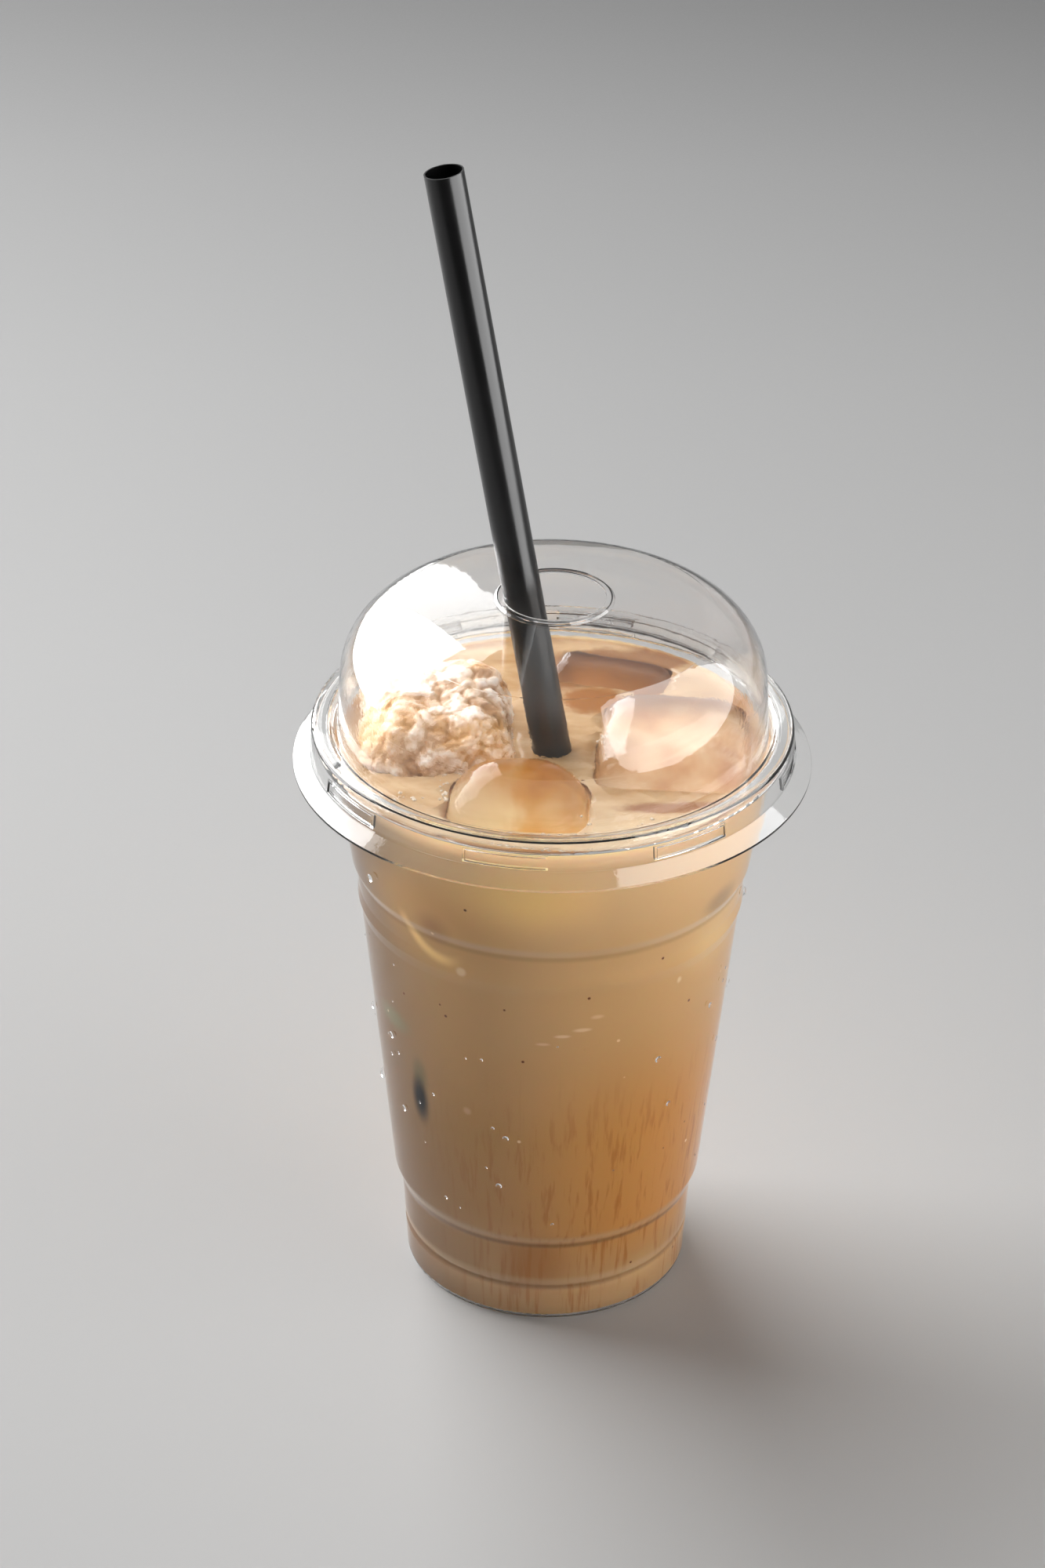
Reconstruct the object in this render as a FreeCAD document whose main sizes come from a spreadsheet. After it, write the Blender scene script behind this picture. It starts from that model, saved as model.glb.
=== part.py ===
"""Iced latte in a clear tapered cup with a press-fit dome lid and a straight straw.

Frame: the origin is the centre of the ring on which the cup stands, +Z is up, +X is to the right and
+Y is to the back.  All sizes are in millimetres and live in the spreadsheet "Size".
"""
import FreeCAD, Part
import os
import Sketcher

doc = FreeCAD.newDocument("IcedLatte")

# ---------------------------------------------------------------------------------------------------------
# Driving dimensions
# ---------------------------------------------------------------------------------------------------------
SIZES = {
    "Cup": {
        "cup_height": 127.0,            # standing ring to the top of the rolled rim
        "rim_radius": 47.75,            # outside of the rolled rim
        "rim_roll": 1.5,                # radius of the roll itself
        "cup_wall": 0.6,
        "foot_radius": 29.3,            # wall carried down to the table
        "foot_round": 1.5,
        "punt_radius": 24.0,            # raised middle of the base
        "punt_rise": 3.0,
        "standing_width": 1.6,          # flat of the standing ring and its round, seen from below
        "crease_height": 8.8,           # shallow crease round the foot
        "crease_depth": 0.35,
        "crease_half": 1.0,
        "ledge_height": 19.0,           # step on which stacked cups rest
        "ledge_rise": 4.4,
        "ledge_step": 1.6,
        "ledge_foot_radius": 30.45,     # wall just under the ledge
        "ledge_round": 2.6,
        "shoulder_drop": 31.2,          # top of the rim down to the step under the drinking rim
        "shoulder_rise": 2.2,
        "shoulder_step": 0.95,
        "shoulder_inset": 8.0,          # outside of the rim in to the wall just under the shoulder
        "shoulder_round": 1.2,
        "bulge_drop": 38.4,             # top of the rim down to the faint bulge below the shoulder
        "bulge_depth": 0.4,
        "bulge_half": 2.6,
    },
    "Lid": {
        "lid_wall": 0.5,
        "lid_seat": 0.15,               # clearance between the lid and the rolled rim
        "dome_inset": 4.35,             # outside of the rim in to the dome where it meets the ring
        "dome_lean": 1.2,               # how far the dome wall leans in up to the shoulder
        "dome_height": 28.2,            # top of the ring to the crown, on the axis
        "crown_radius": 110.0,
        "dome_shoulder": 14.0,
        "straw_hole_radius": 10.3,
        "hole_lip_width": 1.2,
        "hole_lip_height": 0.5,
        "valley_depth": 1.3,            # channel between the dome and the raised ring
        "valley_width": 0.45,
        "ring_round": 0.8,
        "skirt_height": 6.1,            # top of the ring to the crease over the flange
        "skirt_flare": 0.6,
        "flange_reach": 4.45,           # flange out past the rim
        "flange_drop": 1.3,
        "flange_edge_width": 1.4,
        "flange_edge_drop": 0.95,
        "lug_count": 8,                 # snap lugs pressed into the skirt under the rim
        "lug_angle": 20.0,
        "lug_first_angle": 34.0,        # azimuth of one lug from straight ahead, to the right
        "lug_top": 3.25,                # top of the ring to the top of a lug
        "lug_height": 2.4,
        "lug_depth": 0.85,
    },
    "Straw": {
        "straw_radius": 3.9,
        "straw_wall": 0.3,
        "straw_length": 244.0,
        "straw_foot_inset": 8.45,       # cup's foot in to the straw's lower end, on the right
        "straw_foot_front": 6.0,        # straw's lower end forward of the cup's middle
        "straw_hole_gap": 0.215,        # straw to the edge of the hole that it leans on
        "straw_floor_gap": 0.2,
    },
    "Drink": {
        "headroom": 5.5,                # top of the rim down to the drink
        "drink_gap": 0.12,              # drink to the cup, the straw and the ice
    },
}

# Each ice piece is a melted block: length (X), width (Y), height, draft of its sides, edge radius, the
# place of the middle of its top (its height is above the drink), turn about +Z, and tilt about its own
# X and Y axes.
ICE = {
    "ice_left": (32.0, 35.0, 20.0, 4.0, 9.0, (-24.4, 3.8, 8.9), 4.0, 4.0, -6.0),
    "ice_front": (30.0, 26.0, 24.0, 4.0, 11.9, (-6.5, -24.0, 8.0), -3.0, 3.0, 1.0),
    "ice_right": (31.0, 36.0, 20.0, 3.0, 8.0, (24.4, 0.0, 4.5), -4.0, 3.0, 3.0),
    "ice_back": (25.0, 12.5, 19.0, 4.0, 4.5, (12.6, 29.4, 2.7), -14.0, -4.0, 3.0),
}
ICE_FIELDS = ("long", "wide", "tall", "draft", "edge", "place", "turn", "tilt_x", "tilt_y")

sheet = doc.addObject("Spreadsheet::Sheet", "Size")
row = 1


def write_cell(alias, number):
    """One named size: its words in column A, its number in column B under the alias."""
    global row
    sheet.set(f"A{row}", alias.replace("_", " "))
    sheet.set(f"B{row}", str(number))
    sheet.setAlias(f"B{row}", alias)
    row += 1


for group, sizes in SIZES.items():
    sheet.set(f"A{row}", f"[{group}]")
    row += 1
    for alias, number in sizes.items():
        write_cell(alias, number)
for piece, numbers in ICE.items():
    sheet.set(f"A{row}", f"[{piece}]")
    row += 1
    for field, number in zip(ICE_FIELDS, numbers):
        if field == "place":
            for axis, coordinate in zip(("east", "north", "top"), number):
                write_cell(f"{piece}_{axis}", coordinate)
        else:
            write_cell(f"{piece}_{field}", number)
doc.recompute()


def value(expression):
    """The number that an expression over the sheet comes to."""
    answer = sheet.evalExpression(expression)
    return float(getattr(answer, "Value", answer))


# ---------------------------------------------------------------------------------------------------------
# Helpers for sketches and features
# ---------------------------------------------------------------------------------------------------------
def new_body(label):
    body = doc.addObject("PartDesign::Body", label.title().replace("_", ""))
    body.Label = label
    return body


def origin_feature(body, role):
    return next(item for item in body.Origin.OriginFeatures if item.Role == role)


def new_sketch(body, name, role="XZ_Plane"):
    sketch = body.newObject("Sketcher::SketchObject", name)
    sketch.AttachmentSupport = [(origin_feature(body, role), "")]
    sketch.MapMode = "FlatFace"
    return sketch


def bind(sketch, kind, where, expression):
    """Add one dimension to a sketch and tie it to the sheet."""
    index = sketch.addConstraint(Sketcher.Constraint(kind, *where, value(expression)))
    sketch.setExpression(f"Constraints[{index}]", expression)


def fix_point(sketch, geometry, end, point):
    """Tie a vertex to its two coordinates, measured from the sketch's origin."""
    for kind, expression in zip(("DistanceX", "DistanceY"), point):
        if expression == "0":
            other = -2 if kind == "DistanceX" else -1
            sketch.addConstraint(Sketcher.Constraint("PointOnObject", geometry, end, other))
        else:
            bind(sketch, kind, (-1, 1, geometry, end), expression)


def outline(sketch, points, bows=None):
    """A closed outline through points given as pairs of expressions.

    bows maps the number of a side to the expression of its radius, where that side is an arc that bulges
    up and away from the origin.
    """
    bows = bows or {}
    corners = [FreeCAD.Vector(value(x), value(y), 0) for x, y in points]
    count = len(points)
    starts = []
    for side in range(count):
        start, end = corners[side], corners[(side + 1) % count]
        if side in bows:
            radius = value(bows[side])
            chord = end - start
            up = FreeCAD.Vector(-chord.y, chord.x, 0).normalize()
            if up.y < 0:
                up = -up
            rise = radius - (radius ** 2 - chord.Length ** 2 / 4) ** 0.5
            arc = Part.Arc(start, (start + end) / 2 + up * rise, end)
            index = sketch.addGeometry(arc)
            flipped = sketch.getPoint(index, 1).distanceToPoint(start) > 1e-6
            starts.append((index, 2, 1) if flipped else (index, 1, 2))
        else:
            index = sketch.addGeometry(Part.LineSegment(start, end))
            starts.append((index, 1, 2))
    for side in range(count):
        index, _, last = starts[side]
        following, first, _ = starts[(side + 1) % count]
        sketch.addConstraint(Sketcher.Constraint("Coincident", index, last, following, first))
    for side, point in enumerate(points):
        fix_point(sketch, starts[side][0], starts[side][1], point)
    for side, radius in bows.items():
        bind(sketch, "Radius", (starts[side][0],), radius)


def turned(body, name, sketch, kind="Revolution", angle="360"):
    """Turn a sketch round the vertical axis, evenly to both sides of its plane."""
    feature = body.newObject(f"PartDesign::{kind}", name)
    feature.Profile = sketch
    feature.ReferenceAxis = (sketch, ["V_Axis"])
    feature.Midplane = True
    feature.setExpression("Angle", angle)
    sketch.Visibility = False
    return feature


def ring_edges(shape, radius, height):
    """Names of the circular edges round the axis with this radius and height."""
    found = []
    for number, edge in enumerate(shape.Edges, 1):
        curve = edge.Curve
        if not isinstance(curve, Part.Circle):
            continue
        on_axis = abs(curve.Center.x) + abs(curve.Center.y) < 1e-4
        if on_axis and abs(curve.Radius - radius) < 1e-3 and abs(curve.Center.z - height) < 1e-3:
            found.append(f"Edge{number}")
    return found


def round_rings(body, name, rings, radius):
    """Fillet the corners that a turned outline leaves at the given points."""
    doc.recompute()
    base = body.Tip
    edges = []
    for x, y in rings:
        edges += ring_edges(base.Shape, value(x), value(y))
    fillet = body.newObject("PartDesign::Fillet", name)
    fillet.Base = (base, edges)
    fillet.setExpression("Radius", radius)
    return fillet


# ---------------------------------------------------------------------------------------------------------
# Cup: a thermoformed shell whose wall is one line of stations, used again by the drink
# ---------------------------------------------------------------------------------------------------------
def on_line(low, high, height):
    """Radius at a height on the straight line between two stations."""
    return f"{low[0]} + ({high[0]} - {low[0]}) * ({height} - {low[1]}) / ({high[1]} - {low[1]})"


foot = ("Size.foot_radius", "0")
under_ledge = ("Size.ledge_foot_radius", "Size.ledge_height")
over_ledge = ("(Size.ledge_foot_radius + Size.ledge_step)", "(Size.ledge_height + Size.ledge_rise)")
under_shoulder = ("(Size.rim_radius - Size.shoulder_inset)", "(Size.cup_height - Size.shoulder_drop)")
over_shoulder = (f"({under_shoulder[0]} + Size.shoulder_step)", f"({under_shoulder[1]} + Size.shoulder_rise)")
roll_middle = ("(Size.rim_radius - Size.rim_roll)", "(Size.cup_height - Size.rim_roll)")
wall_top = ("(Size.rim_radius - 2 * Size.rim_roll + Size.cup_wall / 2)", roll_middle[1])


def ripple(low, high, height, half, depth):
    """Three stations of a shallow crease (negative depth) or bulge in the straight wall."""
    bottom, top = f"({height} - {half})", f"({height} + {half})"
    return [
        (on_line(low, high, bottom), bottom),
        (f"{on_line(low, high, height)} + {depth}", height),
        (on_line(low, high, top), top),
    ]


crease = ripple(foot, under_ledge, "Size.crease_height", "Size.crease_half", "(-Size.crease_depth)")
bulge_height = "(Size.cup_height - Size.bulge_drop)"
bulge = ripple(over_ledge, under_shoulder, bulge_height, "Size.bulge_half", "Size.bulge_depth")
WALL = [*crease, under_ledge, over_ledge, *bulge, under_shoulder, over_shoulder, wall_top]
SOFT = {"ledge": (under_ledge, over_ledge), "shoulder": (under_shoulder, over_shoulder)}


def inset(stations, amount):
    """The wall's stations moved towards the axis."""
    return [(f"{radius} - {amount}", height) for radius, height in stations]


def make_cup():
    body = new_body("cup")
    wall = "Size.cup_wall"
    standing_in = "Size.foot_radius - Size.foot_round - Size.standing_width"
    floor_top = "Size.punt_rise + Size.cup_wall"
    floor_corner = (f"Size.foot_radius - {wall}", "Size.cup_wall")
    outside = [
        ("0", "Size.punt_rise"),
        ("Size.punt_radius", "Size.punt_rise"),
        (standing_in, "0"),
        foot,
        *WALL,
    ]
    inside = [
        *reversed(inset(WALL, wall)),
        floor_corner,
        (f"{standing_in} + Size.cup_wall / 2", "Size.cup_wall"),
        ("Size.punt_radius + Size.cup_wall / 2", floor_top),
        ("0", floor_top),
    ]
    sketch = new_sketch(body, "CupWall")
    outline(sketch, outside + inside)
    turned(body, "CupShell", sketch)

    roll = new_sketch(body, "RimRoll")
    centre = FreeCAD.Vector(value(roll_middle[0]), value(roll_middle[1]), 0)
    circle = roll.addGeometry(Part.Circle(centre, FreeCAD.Vector(0, 0, 1), value("Size.rim_roll")))
    fix_point(roll, circle, 3, roll_middle)
    bind(roll, "Radius", (circle,), "Size.rim_roll")
    turned(body, "RolledRim", roll)

    for name, (low, high) in SOFT.items():
        rings = [low, high, *inset([low, high], wall)]
        round_rings(body, f"{name.title()}Round", rings, f"Size.{name}_round")
    round_rings(body, "FootRound", [foot], "Size.foot_round")
    round_rings(body, "FloorRound", [floor_corner], "Size.foot_round - Size.cup_wall")
    return body


# ---------------------------------------------------------------------------------------------------------
# Lid: dome, straw hole, channel, raised ring over the rim, skirt with snap lugs, flange
# ---------------------------------------------------------------------------------------------------------
ring_top = "(Size.cup_height + Size.lid_seat + Size.lid_wall)"
ring_radius = "(Size.rim_radius + Size.lid_seat + Size.lid_wall)"
ring_inner = "(Size.rim_radius - 2 * Size.rim_roll - Size.lid_seat)"
dome_radius = "(Size.rim_radius - Size.dome_inset)"
flange_radius = "(Size.rim_radius + Size.flange_reach)"
crown_centre = f"({ring_top} + Size.dome_height - Size.crown_radius)"


def crown(radius, skin="0"):
    """Height of the crown's sphere at a radius, on the skin that lies this far inside the outer one."""
    return f"{crown_centre} + sqrt((Size.crown_radius - {skin})^2 - ({radius})^2)"


def lid_skins():
    """Outer skin from the hole to the flange, and inner skin back again."""
    wall = "Size.lid_wall"
    lip_out = "(Size.straw_hole_radius + Size.hole_lip_width)"
    lip_foot = f"({lip_out} + Size.hole_lip_height)"
    corner = f"({dome_radius} - Size.dome_lean)"
    valley = f"{ring_top} - Size.valley_depth"
    valley_out = f"({dome_radius} + Size.valley_width)"
    skirt_foot = (f"{ring_radius} + Size.skirt_flare", f"{ring_top} - Size.skirt_height")
    edge_in = (f"{flange_radius} - Size.flange_edge_width", f"{skirt_foot[1]} - Size.flange_drop")
    edge_out = (flange_radius, f"{edge_in[1]} - Size.flange_edge_drop")
    outer = [
        ("Size.straw_hole_radius", f"{crown(lip_out)} + Size.hole_lip_height"),
        (lip_out, f"{crown(lip_out)} + Size.hole_lip_height"),
        (lip_foot, crown(lip_foot)),
        (corner, crown(corner)),
        (dome_radius, valley),
        (valley_out, valley),
        (ring_inner, ring_top),
        (ring_radius, ring_top),
        skirt_foot,
        edge_in,
        edge_out,
    ]
    inner_corner = f"({corner} - {wall})"
    inner_lip = f"({lip_foot} - {wall} / 2)"
    inner = [
        (f"{edge_out[0]}", f"{edge_out[1]} - {wall}"),
        (f"{edge_in[0]} - {wall} / 3", f"{edge_in[1]} - {wall}"),
        (f"{skirt_foot[0]} - {wall}", f"{skirt_foot[1]} - {wall}"),
        (f"{ring_radius} - {wall}", f"{ring_top} - {wall}"),
        (f"{ring_inner} + {wall}", f"{ring_top} - {wall}"),
        (f"{valley_out} + {wall} / 2", f"{valley} - {wall}"),
        (f"{dome_radius} - {wall}", f"{valley} - {wall}"),
        (inner_corner, crown(inner_corner, wall)),
        (inner_lip, crown(inner_lip, wall)),
        (f"{lip_out} - {wall} / 2", f"{crown(lip_out)} + Size.hole_lip_height - {wall}"),
        ("Size.straw_hole_radius", f"{crown(lip_out)} + Size.hole_lip_height - {wall}"),
    ]
    return outer, inner


def make_lid():
    body = new_body("lid")
    outer, inner = lid_skins()
    sketch = new_sketch(body, "LidSkins")
    outer_crown, inner_crown = 2, len(outer) + 7
    bows = {outer_crown: "Size.crown_radius", inner_crown: "Size.crown_radius - Size.lid_wall"}
    outline(sketch, outer + inner, bows)
    turned(body, "LidShell", sketch)
    round_rings(body, "DomeShoulder", [outer[3]], "Size.dome_shoulder")
    round_rings(body, "DomeShoulderInside", [inner[7]], "Size.dome_shoulder - Size.lid_wall")
    round_rings(body, "RingRound", [outer[7]], "Size.ring_round")

    # A lug is the skirt's own wall pressed in under the rolled rim: its inside is added, then its outside
    # is taken away, and both are repeated round the skirt.
    lug_low = f"{ring_top} - Size.lug_top - Size.lug_height"
    lug_high = f"{ring_top} - Size.lug_top"
    slope = "Size.skirt_flare / Size.skirt_height"
    skirt_low = f"({ring_radius} + (Size.lug_top + Size.lug_height) * {slope})"
    skirt_high = f"({ring_radius} + Size.lug_top * {slope})"
    wall, depth = "Size.lid_wall", "Size.lug_depth"
    pressed = new_sketch(body, "LugInside")
    outline(pressed, [
        (f"{skirt_low} - {wall} / 2", f"{lug_low} - {wall}"),
        (f"{skirt_low} - {depth} - {wall} / 2", lug_low),
        (f"{skirt_high} - {depth} - {wall} / 2", lug_high),
        (f"{skirt_high} - {wall} / 2", f"{lug_high} + {wall}"),
    ])
    inside = turned(body, "Lug", pressed, "Revolution", "Size.lug_angle")
    window = new_sketch(body, "LugOutside")
    outline(window, [
        (f"{skirt_low} + {wall}", lug_low),
        (f"{skirt_low} - {depth} + {wall} / 2", lug_low),
        (f"{skirt_high} - {depth} + {wall} / 2", lug_high),
        (f"{skirt_high} + {wall}", lug_high),
    ])
    outside = turned(body, "LugWindow", window, "Groove", "Size.lug_angle - 1.2")
    doc.recompute()
    pattern = body.newObject("PartDesign::PolarPattern", "LugRing")
    pattern.Originals = [inside, outside]
    pattern.Axis = (sketch, ["V_Axis"])
    pattern.Angle = 360
    pattern.setExpression("Occurrences", "Size.lug_count")
    body.Tip = pattern
    body.setExpression(
        "Placement",
        "create(<<placement>>; create(<<vector>>; 0; 0; 0);"
        " create(<<rotation>>; create(<<vector>>; 0; 0; 1); Size.lug_first_angle))",
    )
    return body


# ---------------------------------------------------------------------------------------------------------
# Straw: a plain tube that stands on the cup's floor and leans on the edge of the hole
# ---------------------------------------------------------------------------------------------------------
def straw_axis():
    """Direction of the straw, and the middle of its lower end, from what it stands and leans on."""
    hole_height = f"({crown('Size.straw_hole_radius')} + Size.hole_lip_height - Size.lid_wall)"
    floor = "(Size.punt_rise + Size.cup_wall + Size.straw_floor_gap)"
    foot_right = "(Size.foot_radius - Size.straw_foot_inset)"
    hole_left = "(Size.straw_hole_radius - Size.straw_radius - Size.straw_hole_gap)"
    across = f"({foot_right} + {hole_left})"
    slope = f"(sqrt({across}^2 + Size.straw_foot_front^2) / ({hole_height} - {floor}))"
    foot_height = f"({floor} + Size.straw_radius * {slope})"
    low = (foot_right, "(-Size.straw_foot_front)", foot_height)
    return (f"(-{across})", "Size.straw_foot_front", f"({hole_height} - {foot_height})"), low


def straw_solid(label, radius, bore):
    """A round bar or tube of the given radii along the straw's axis."""
    direction, low = straw_axis()
    tilt = (
        f"create(<<rotation>>; create(<<vector>>; 0; 0; 1);"
        f" create(<<vector>>; {direction[0]}; {direction[1]}; {direction[2]}))"
    )
    place = f"create(<<placement>>; create(<<vector>>; {low[0]}; {low[1]}; {low[2]}); {tilt})"
    body = new_body(label)
    sketch = new_sketch(body, f"{body.Name}Section", "XY_Plane")
    for size in filter(None, (radius, bore)):
        centre = FreeCAD.Vector(0, 0, 0)
        ring = sketch.addGeometry(Part.Circle(centre, FreeCAD.Vector(0, 0, 1), value(size)))
        sketch.addConstraint(Sketcher.Constraint("Coincident", ring, 3, -1, 1))
        bind(sketch, "Radius", (ring,), size)
    tube = body.newObject("PartDesign::Pad", f"{body.Name}Length")
    tube.Profile = sketch
    tube.setExpression("Length", "Size.straw_length")
    body.setExpression("Placement", place)
    return body


# ---------------------------------------------------------------------------------------------------------
# Ice: melted blocks that break the surface, and the pockets that they float in
# ---------------------------------------------------------------------------------------------------------
drink_level = "(Size.cup_height - Size.headroom)"


def make_ice(label, grow="0", suffix=""):
    """A block with drafted sides and round edges, hung from the middle of its top face."""
    body = new_body(label + suffix)
    size = f"Size.{label}"
    sketch = new_sketch(body, f"{body.Name}Top", "XY_Plane")
    half_x, half_y = f"({size}_long / 2 + {grow})", f"({size}_wide / 2 + {grow})"
    corners = [(-1, -1), (1, -1), (1, 1), (-1, 1)]
    outline(sketch, [(f"{x} * {half_x}", f"{y} * {half_y}") for x, y in corners])
    block = body.newObject("PartDesign::Pad", f"{body.Name}Block")
    block.Profile = sketch
    block.Reversed = True
    block.setExpression("Length", f"{size}_tall + 2 * {grow}")
    block.setExpression("TaperAngle", f"-{size}_draft")
    doc.recompute()
    edges = [f"Edge{number + 1}" for number in range(len(block.Shape.Edges))]
    melt = body.newObject("PartDesign::Fillet", f"{body.Name}Melt")
    melt.Base = (block, edges)
    melt.setExpression("Radius", f"{size}_edge + {grow}")
    turn = (
        f"create(<<rotation>>; create(<<vector>>; 0; 0; 1); {size}_turn)"
        f" * create(<<rotation>>; create(<<vector>>; 1; 0; 0); {size}_tilt_x)"
        f" * create(<<rotation>>; create(<<vector>>; 0; 1; 0); {size}_tilt_y)"
    )
    place = f"create(<<vector>>; {size}_east; {size}_north; {drink_level} + {size}_top + {grow})"
    body.setExpression("Placement", f"create(<<placement>>; {place}; {turn})")
    return body


# ---------------------------------------------------------------------------------------------------------
# Drink: fills the cup to its level, cut round the straw and the ice
# ---------------------------------------------------------------------------------------------------------
def make_drink():
    gap = "(Size.cup_wall + Size.drink_gap)"
    bottom = "Size.cup_wall + Size.drink_gap"
    middle = "Size.punt_rise + Size.cup_wall + Size.drink_gap"
    standing_in = "Size.foot_radius - Size.foot_round - Size.standing_width + Size.cup_wall / 2"
    level_radius = on_line(over_shoulder, wall_top, drink_level)
    side = inset([*WALL[:-1], (level_radius, drink_level)], gap)
    full = new_body("drink_full")
    sketch = new_sketch(full, "DrinkSide")
    outline(sketch, [
        ("0", middle),
        ("Size.punt_radius + Size.cup_wall / 2", middle),
        (standing_in, bottom),
        (f"Size.foot_radius - {gap}", bottom),
        *side,
        ("0", drink_level),
    ])
    turned(full, "DrinkFill", sketch)
    for name, (low, high) in SOFT.items():
        round_rings(full, f"Drink{name.title()}", inset([low, high], gap), f"Size.{name}_round")
    round_rings(full, "DrinkFloor", [(f"Size.foot_radius - {gap}", bottom)], "Size.foot_round - Size.cup_wall")

    tools = [make_ice(piece, "Size.drink_gap", "_pocket") for piece in ICE]
    tools.append(straw_solid("straw_pocket", "Size.straw_radius + Size.drink_gap", None))
    pockets = doc.addObject("Part::MultiFuse", "Pockets")
    pockets.Shapes = tools
    drink = doc.addObject("Part::Cut", "Drink")
    drink.Base = full
    drink.Tool = pockets
    drink.Label = "drink"
    return drink


# ---------------------------------------------------------------------------------------------------------
# Build, check and write
# ---------------------------------------------------------------------------------------------------------
nodes = [make_cup(), make_lid(), straw_solid("straw", "Size.straw_radius", "Size.straw_radius - Size.straw_wall")]
nodes += [make_ice(piece) for piece in ICE]
nodes.append(make_drink())
doc.recompute()

for item in doc.Objects:
    faults = [state for state in item.State if state in ("Invalid", "Error")]
    if faults:
        raise RuntimeError(f"{item.Label}: {faults}")
os.makedirs("parts", exist_ok=True)
for node in nodes:
    if node.Shape.isNull() or not node.Shape.isValid() or len(node.Shape.Solids) != 1:
        raise RuntimeError(f"{node.Label} is not one sound solid")
for node in nodes:
    node.Shape.exportStep(f"parts/{node.Label}.step")
    print(f"{node.Label}: {node.Shape.Volume / 1000:.1f} cm3")
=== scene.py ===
"""Iced latte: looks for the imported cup, lid, straw, drink and ice.  Metres, in the frame of the part."""
import math
import random

import bpy
from mathutils import Euler, Matrix, Vector, noise


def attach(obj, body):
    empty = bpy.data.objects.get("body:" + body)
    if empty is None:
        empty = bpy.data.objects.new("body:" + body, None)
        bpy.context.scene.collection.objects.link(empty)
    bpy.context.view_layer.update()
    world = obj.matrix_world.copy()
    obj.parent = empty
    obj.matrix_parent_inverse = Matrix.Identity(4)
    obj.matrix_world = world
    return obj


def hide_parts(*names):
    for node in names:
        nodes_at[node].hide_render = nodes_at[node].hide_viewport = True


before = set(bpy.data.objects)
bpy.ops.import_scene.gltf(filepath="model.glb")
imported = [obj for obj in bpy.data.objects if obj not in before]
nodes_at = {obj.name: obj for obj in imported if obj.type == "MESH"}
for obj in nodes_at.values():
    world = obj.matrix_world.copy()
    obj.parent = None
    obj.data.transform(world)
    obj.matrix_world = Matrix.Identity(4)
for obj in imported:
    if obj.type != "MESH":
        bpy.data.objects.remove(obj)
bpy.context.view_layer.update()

MM = 0.001


# ---------------------------------------------------------------------------------------------------------
# Helpers
# ---------------------------------------------------------------------------------------------------------
def srgb(red, green, blue):
    """A linear colour from 0-255 screen values."""
    def line(c):
        c /= 255
        return c / 12.92 if c <= 0.04045 else ((c + 0.055) / 1.055) ** 2.4
    return (line(red), line(green), line(blue), 1.0)


def link_object(name, data):
    thing = bpy.data.objects.new(name, data)
    bpy.context.scene.collection.objects.link(thing)
    return thing


def mesh_object(name, vertices, faces):
    mesh = bpy.data.meshes.new(name)
    mesh.from_pydata([tuple(v) for v in vertices], [], faces)
    mesh.update()
    mesh.shade_smooth()
    return link_object(name, mesh)


def lathe(name, outline, steps=192):
    """A closed surface turned round Z from (radius, height) points that start and end on the axis."""
    inner = outline[1:-1]
    vertices = [Vector((0, 0, outline[0][1])), Vector((0, 0, outline[-1][1]))]
    for radius, height in inner:
        for k in range(steps):
            a = 2 * math.pi * k / steps
            vertices.append(Vector((radius * math.cos(a), radius * math.sin(a), height)))
    faces = []
    last = 2 + (len(inner) - 1) * steps
    for k in range(steps):
        n = (k + 1) % steps
        faces.append((0, 2 + n, 2 + k))
        faces.append((1, last + k, last + n))
        for ring in range(len(inner) - 1):
            a = 2 + ring * steps
            faces.append((a + k, a + n, a + steps + n, a + steps + k))
    return mesh_object(name, vertices, faces)


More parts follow.
